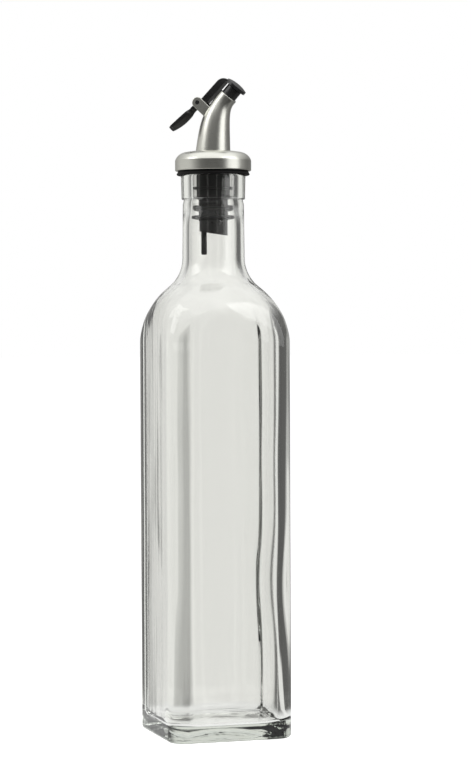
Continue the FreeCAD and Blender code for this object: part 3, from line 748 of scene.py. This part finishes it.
def smooth_range(tree, value, low, high, start, end):
    """A share that goes smoothly from start to end while a value goes from low to high."""
    node = tree.nodes.new("ShaderNodeMapRange")
    node.interpolation_type = "SMOOTHSTEP"
    node.inputs["From Min"].default_value = low
    node.inputs["From Max"].default_value = high
    node.inputs["To Min"].default_value = start
    node.inputs["To Max"].default_value = end
    tree.links.new(value, node.inputs["Value"])
    return node.outputs["Result"]


def card_glow(name, greys, behind, near_fade, top):
    """A card's own light: its greys, faded to white towards its top and towards the bottle."""
    material = bpy.data.materials.new(name)
    material.use_nodes = True
    tree = material.node_tree
    tree.nodes.remove(tree.nodes["Principled BSDF"])
    place = tree.nodes.new("ShaderNodeTexCoord").outputs["Object"]
    parts = tree.nodes.new("ShaderNodeSeparateXYZ")
    tree.links.new(place, parts.inputs["Vector"])
    reach = tree.nodes.new("ShaderNodeVectorMath")
    reach.operation = "LENGTH"
    tree.links.new(place, reach.inputs[0])
    whitest = tree.nodes.new("ShaderNodeMath")
    whitest.operation = "MAXIMUM"
    high_up = smooth_range(tree, parts.outputs["Z"], top * CARD_FADE_START, top, 0.0, 1.0)
    close_by = smooth_range(tree, reach.outputs["Value"], *near_fade, 1.0, 0.0)
    tree.links.new(high_up, whitest.inputs[0])
    tree.links.new(close_by, whitest.inputs[1])
    fade = tree.nodes.new("ShaderNodeMix")
    fade.data_type = "RGBA"
    tree.links.new(whitest.outputs["Value"], fade.inputs["Factor"])
    tree.links.new(greys_by_angle(tree, place, behind, greys), fade.inputs["A"])
    fade.inputs["B"].default_value = WHITE
    glow = tree.nodes.new("ShaderNodeEmission")
    tree.links.new(fade.outputs["Result"], glow.inputs["Color"])
    tree.links.new(glow.outputs["Emission"], tree.nodes["Material Output"].inputs["Surface"])
    return material


def studio_card(name, greys, behind, hole, near_fade, radius, top, mirrored=False, seen_through=False):
    """A card all round that lies on the floor and stands up at its rim.

    It shows in gloss where it is mirrored, through the glass where it is seen through, and nowhere else.
    """
    bm = bmesh.new()
    line = [bm.verts.new((radius, 0.0, top)), bm.verts.new((radius, 0.0, -CARD_DROP)),
            bm.verts.new((hole, 0.0, -CARD_DROP))]
    edges = [bm.edges.new(pair) for pair in zip(line, line[1:])]
    bmesh.ops.spin(bm, geom=[*line, *edges], cent=(0, 0, 0), axis=(0, 0, 1), angle=2 * math.pi,
                   steps=CARD_STEPS, use_merge=True)
    card = add_piece(name, bm, card_glow(name, greys, behind, near_fade, top), body=None)
    card.visible_camera = False
    card.visible_diffuse = False
    card.visible_glossy = mirrored
    card.visible_transmission = seen_through
    card.visible_volume_scatter = False
    card.visible_shadow = False


def stand_cards(studio):
    """What gloss mirrors all round, and the flags that darken what the glass's corners bend to."""
    behind = studio.azimuth + math.pi / 2
    studio_card("mirrored_card", MIRRORED_GREYS, behind, hole=0.06, near_fade=(0.06, 0.12), radius=1.6,
                top=2.2, mirrored=True)
    studio_card("flag_card", FLAG_GREYS, behind, hole=0.001, near_fade=(0.045, 0.11), radius=1.5,
                top=1.6, seen_through=True)


def soft_lamp(name, azimuth, elevation, distance, width, height, power):
    """A soft box that faces the middle of the object, at an azimuth counted like the camera's."""
    light = bpy.data.lights.new(name, "AREA")
    light.shape = "RECTANGLE"
    light.size = width
    light.size_y = height
    light.energy = power
    lamp = bpy.data.objects.new(name, light)
    bpy.context.scene.collection.objects.link(lamp)
    away = Vector((math.sin(azimuth) * math.cos(elevation), -math.cos(azimuth) * math.cos(elevation),
                   math.sin(elevation)))
    middle = Vector((0.0, 0.0, CAD_BOX[1].z / 2))
    lamp.location = middle + away * distance
    lamp.rotation_euler = away.to_track_quat("Z", "Y").to_euler()


def hang_lamps(studio):
    """Three soft boxes, placed from where the camera stands."""
    side = studio.azimuth
    soft_lamp("soft_box_right", side + math.radians(63), math.radians(27), distance=1.05, width=0.8,
              height=1.0, power=4.4)
    soft_lamp("soft_box_left", side - math.radians(75), math.radians(35), distance=1.3, width=0.6,
              height=0.6, power=2.5)
    soft_lamp("soft_box_top", side + math.radians(10), math.radians(78), distance=1.3, width=2.0,
              height=2.0, power=5.5)


def place_camera(studio):
    """A camera at the side of the bottle, a little below its shoulder."""
    data = bpy.data.cameras.new("camera")
    data.lens = studio.lens
    data.sensor_width = 36.0
    camera = bpy.data.objects.new("camera", data)
    bpy.context.scene.collection.objects.link(camera)
    bpy.context.scene.camera = camera
    away = Vector((math.sin(studio.azimuth), -math.cos(studio.azimuth), 0.0))
    camera.location = away * studio.distance + Vector((0.0, 0.0, studio.eye))
    turn = Matrix.Rotation(studio.azimuth - studio.pan, 4, "Z")
    tilt = Matrix.Rotation(math.pi / 2 - studio.tilt, 4, "X")
    roll = Matrix.Rotation(studio.roll, 4, "Z")
    camera.rotation_euler = (turn @ tilt @ roll).to_euler()


# ------------------------------------------------------------------ operators
class OILBOTTLE_OT_glass(bpy.types.Operator):
    """Blow the glass bottle"""

    bl_idname = "oilbottle.glass"
    bl_label = "Glass Bottle"

    def execute(self, context):
        settings = context.scene.oil_bottle_glass
        bm = Bottle(settings, BOTTLE_HIGH.z, BOTTLE_HIGH.x).blow()
        piece = add_piece("glass_bottle", bm, clear_glass(settings))
        piece.data.set_sharp_from_angle(angle=SHARP_EDGE)
        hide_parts("bottle")
        return {"FINISHED"}


class OILBOTTLE_OT_stopper(bpy.types.Operator):
    """Finish the rubber stopper"""

    bl_idname = "oilbottle.stopper"
    bl_label = "Rubber Stopper"

    def execute(self, context):
        give_finish("stopper", black_rubber(context.scene.oil_bottle_pourer))
        return {"FINISHED"}


class OILBOTTLE_OT_shell(bpy.types.Operator):
    """Plate the pourer's shell"""

    bl_idname = "oilbottle.shell"
    bl_label = "Satin Shell"

    def execute(self, context):
        give_finish("pourer_shell", satin_metal(context.scene.oil_bottle_pourer))
        return {"FINISHED"}


class OILBOTTLE_OT_mouldings(bpy.types.Operator):
    """Finish the lever, the nozzle and the tubes"""

    bl_idname = "oilbottle.mouldings"
    bl_label = "Black Mouldings"

    def execute(self, context):
        plastic = black_plastic(context.scene.oil_bottle_pourer)
        for node in ("nozzle", "inlet_tube", "vent_tube", "lever"):
            give_finish(node, plastic)
        return {"FINISHED"}


class OILBOTTLE_OT_studio(bpy.types.Operator):
    """Set the floor, the cards, the lights and the camera"""

    bl_idname = "oilbottle.studio"
    bl_label = "Studio"

    def execute(self, context):
        studio = context.scene.oil_bottle_studio
        white_room(studio.room)
        white_floor()
        stand_cards(studio)
        hang_lamps(studio)
        place_camera(studio)
        context.scene.view_settings.view_transform = "Standard"
        return {"FINISHED"}


class OILBOTTLE_PT_panel(bpy.types.Panel):
    """The pieces of the oil bottle and their settings"""

    bl_label = "Oil Bottle"
    bl_idname = "OILBOTTLE_PT_panel"
    bl_space_type = "VIEW_3D"
    bl_region_type = "UI"
    bl_category = "Oil Bottle"

    def draw(self, context):
        for operator in OPERATORS:
            self.layout.operator(operator.bl_idname)
        for name, group in GROUPS.items():
            box = self.layout.box()
            for setting in group.__annotations__:
                box.prop(getattr(context.scene, name), setting)


OPERATORS = (OILBOTTLE_OT_glass, OILBOTTLE_OT_stopper, OILBOTTLE_OT_shell, OILBOTTLE_OT_mouldings,
             OILBOTTLE_OT_studio)
GROUPS = {
    "oil_bottle_glass": GlassSettings,
    "oil_bottle_pourer": PourerSettings,
    "oil_bottle_studio": StudioSettings,
}


def register():
    for cls in (*GROUPS.values(), *OPERATORS, OILBOTTLE_PT_panel):
        bpy.utils.register_class(cls)
    for name, group in GROUPS.items():
        setattr(bpy.types.Scene, name, PointerProperty(type=group))


def unregister():
    for name in GROUPS:
        delattr(bpy.types.Scene, name)
    for cls in (OILBOTTLE_PT_panel, *reversed(OPERATORS), *GROUPS.values()):
        bpy.utils.unregister_class(cls)


def main():
    register()
    bpy.ops.oilbottle.glass()
    bpy.ops.oilbottle.stopper()
    bpy.ops.oilbottle.shell()
    bpy.ops.oilbottle.mouldings()
    bpy.ops.oilbottle.studio()


if __name__ == "__main__":
    main()
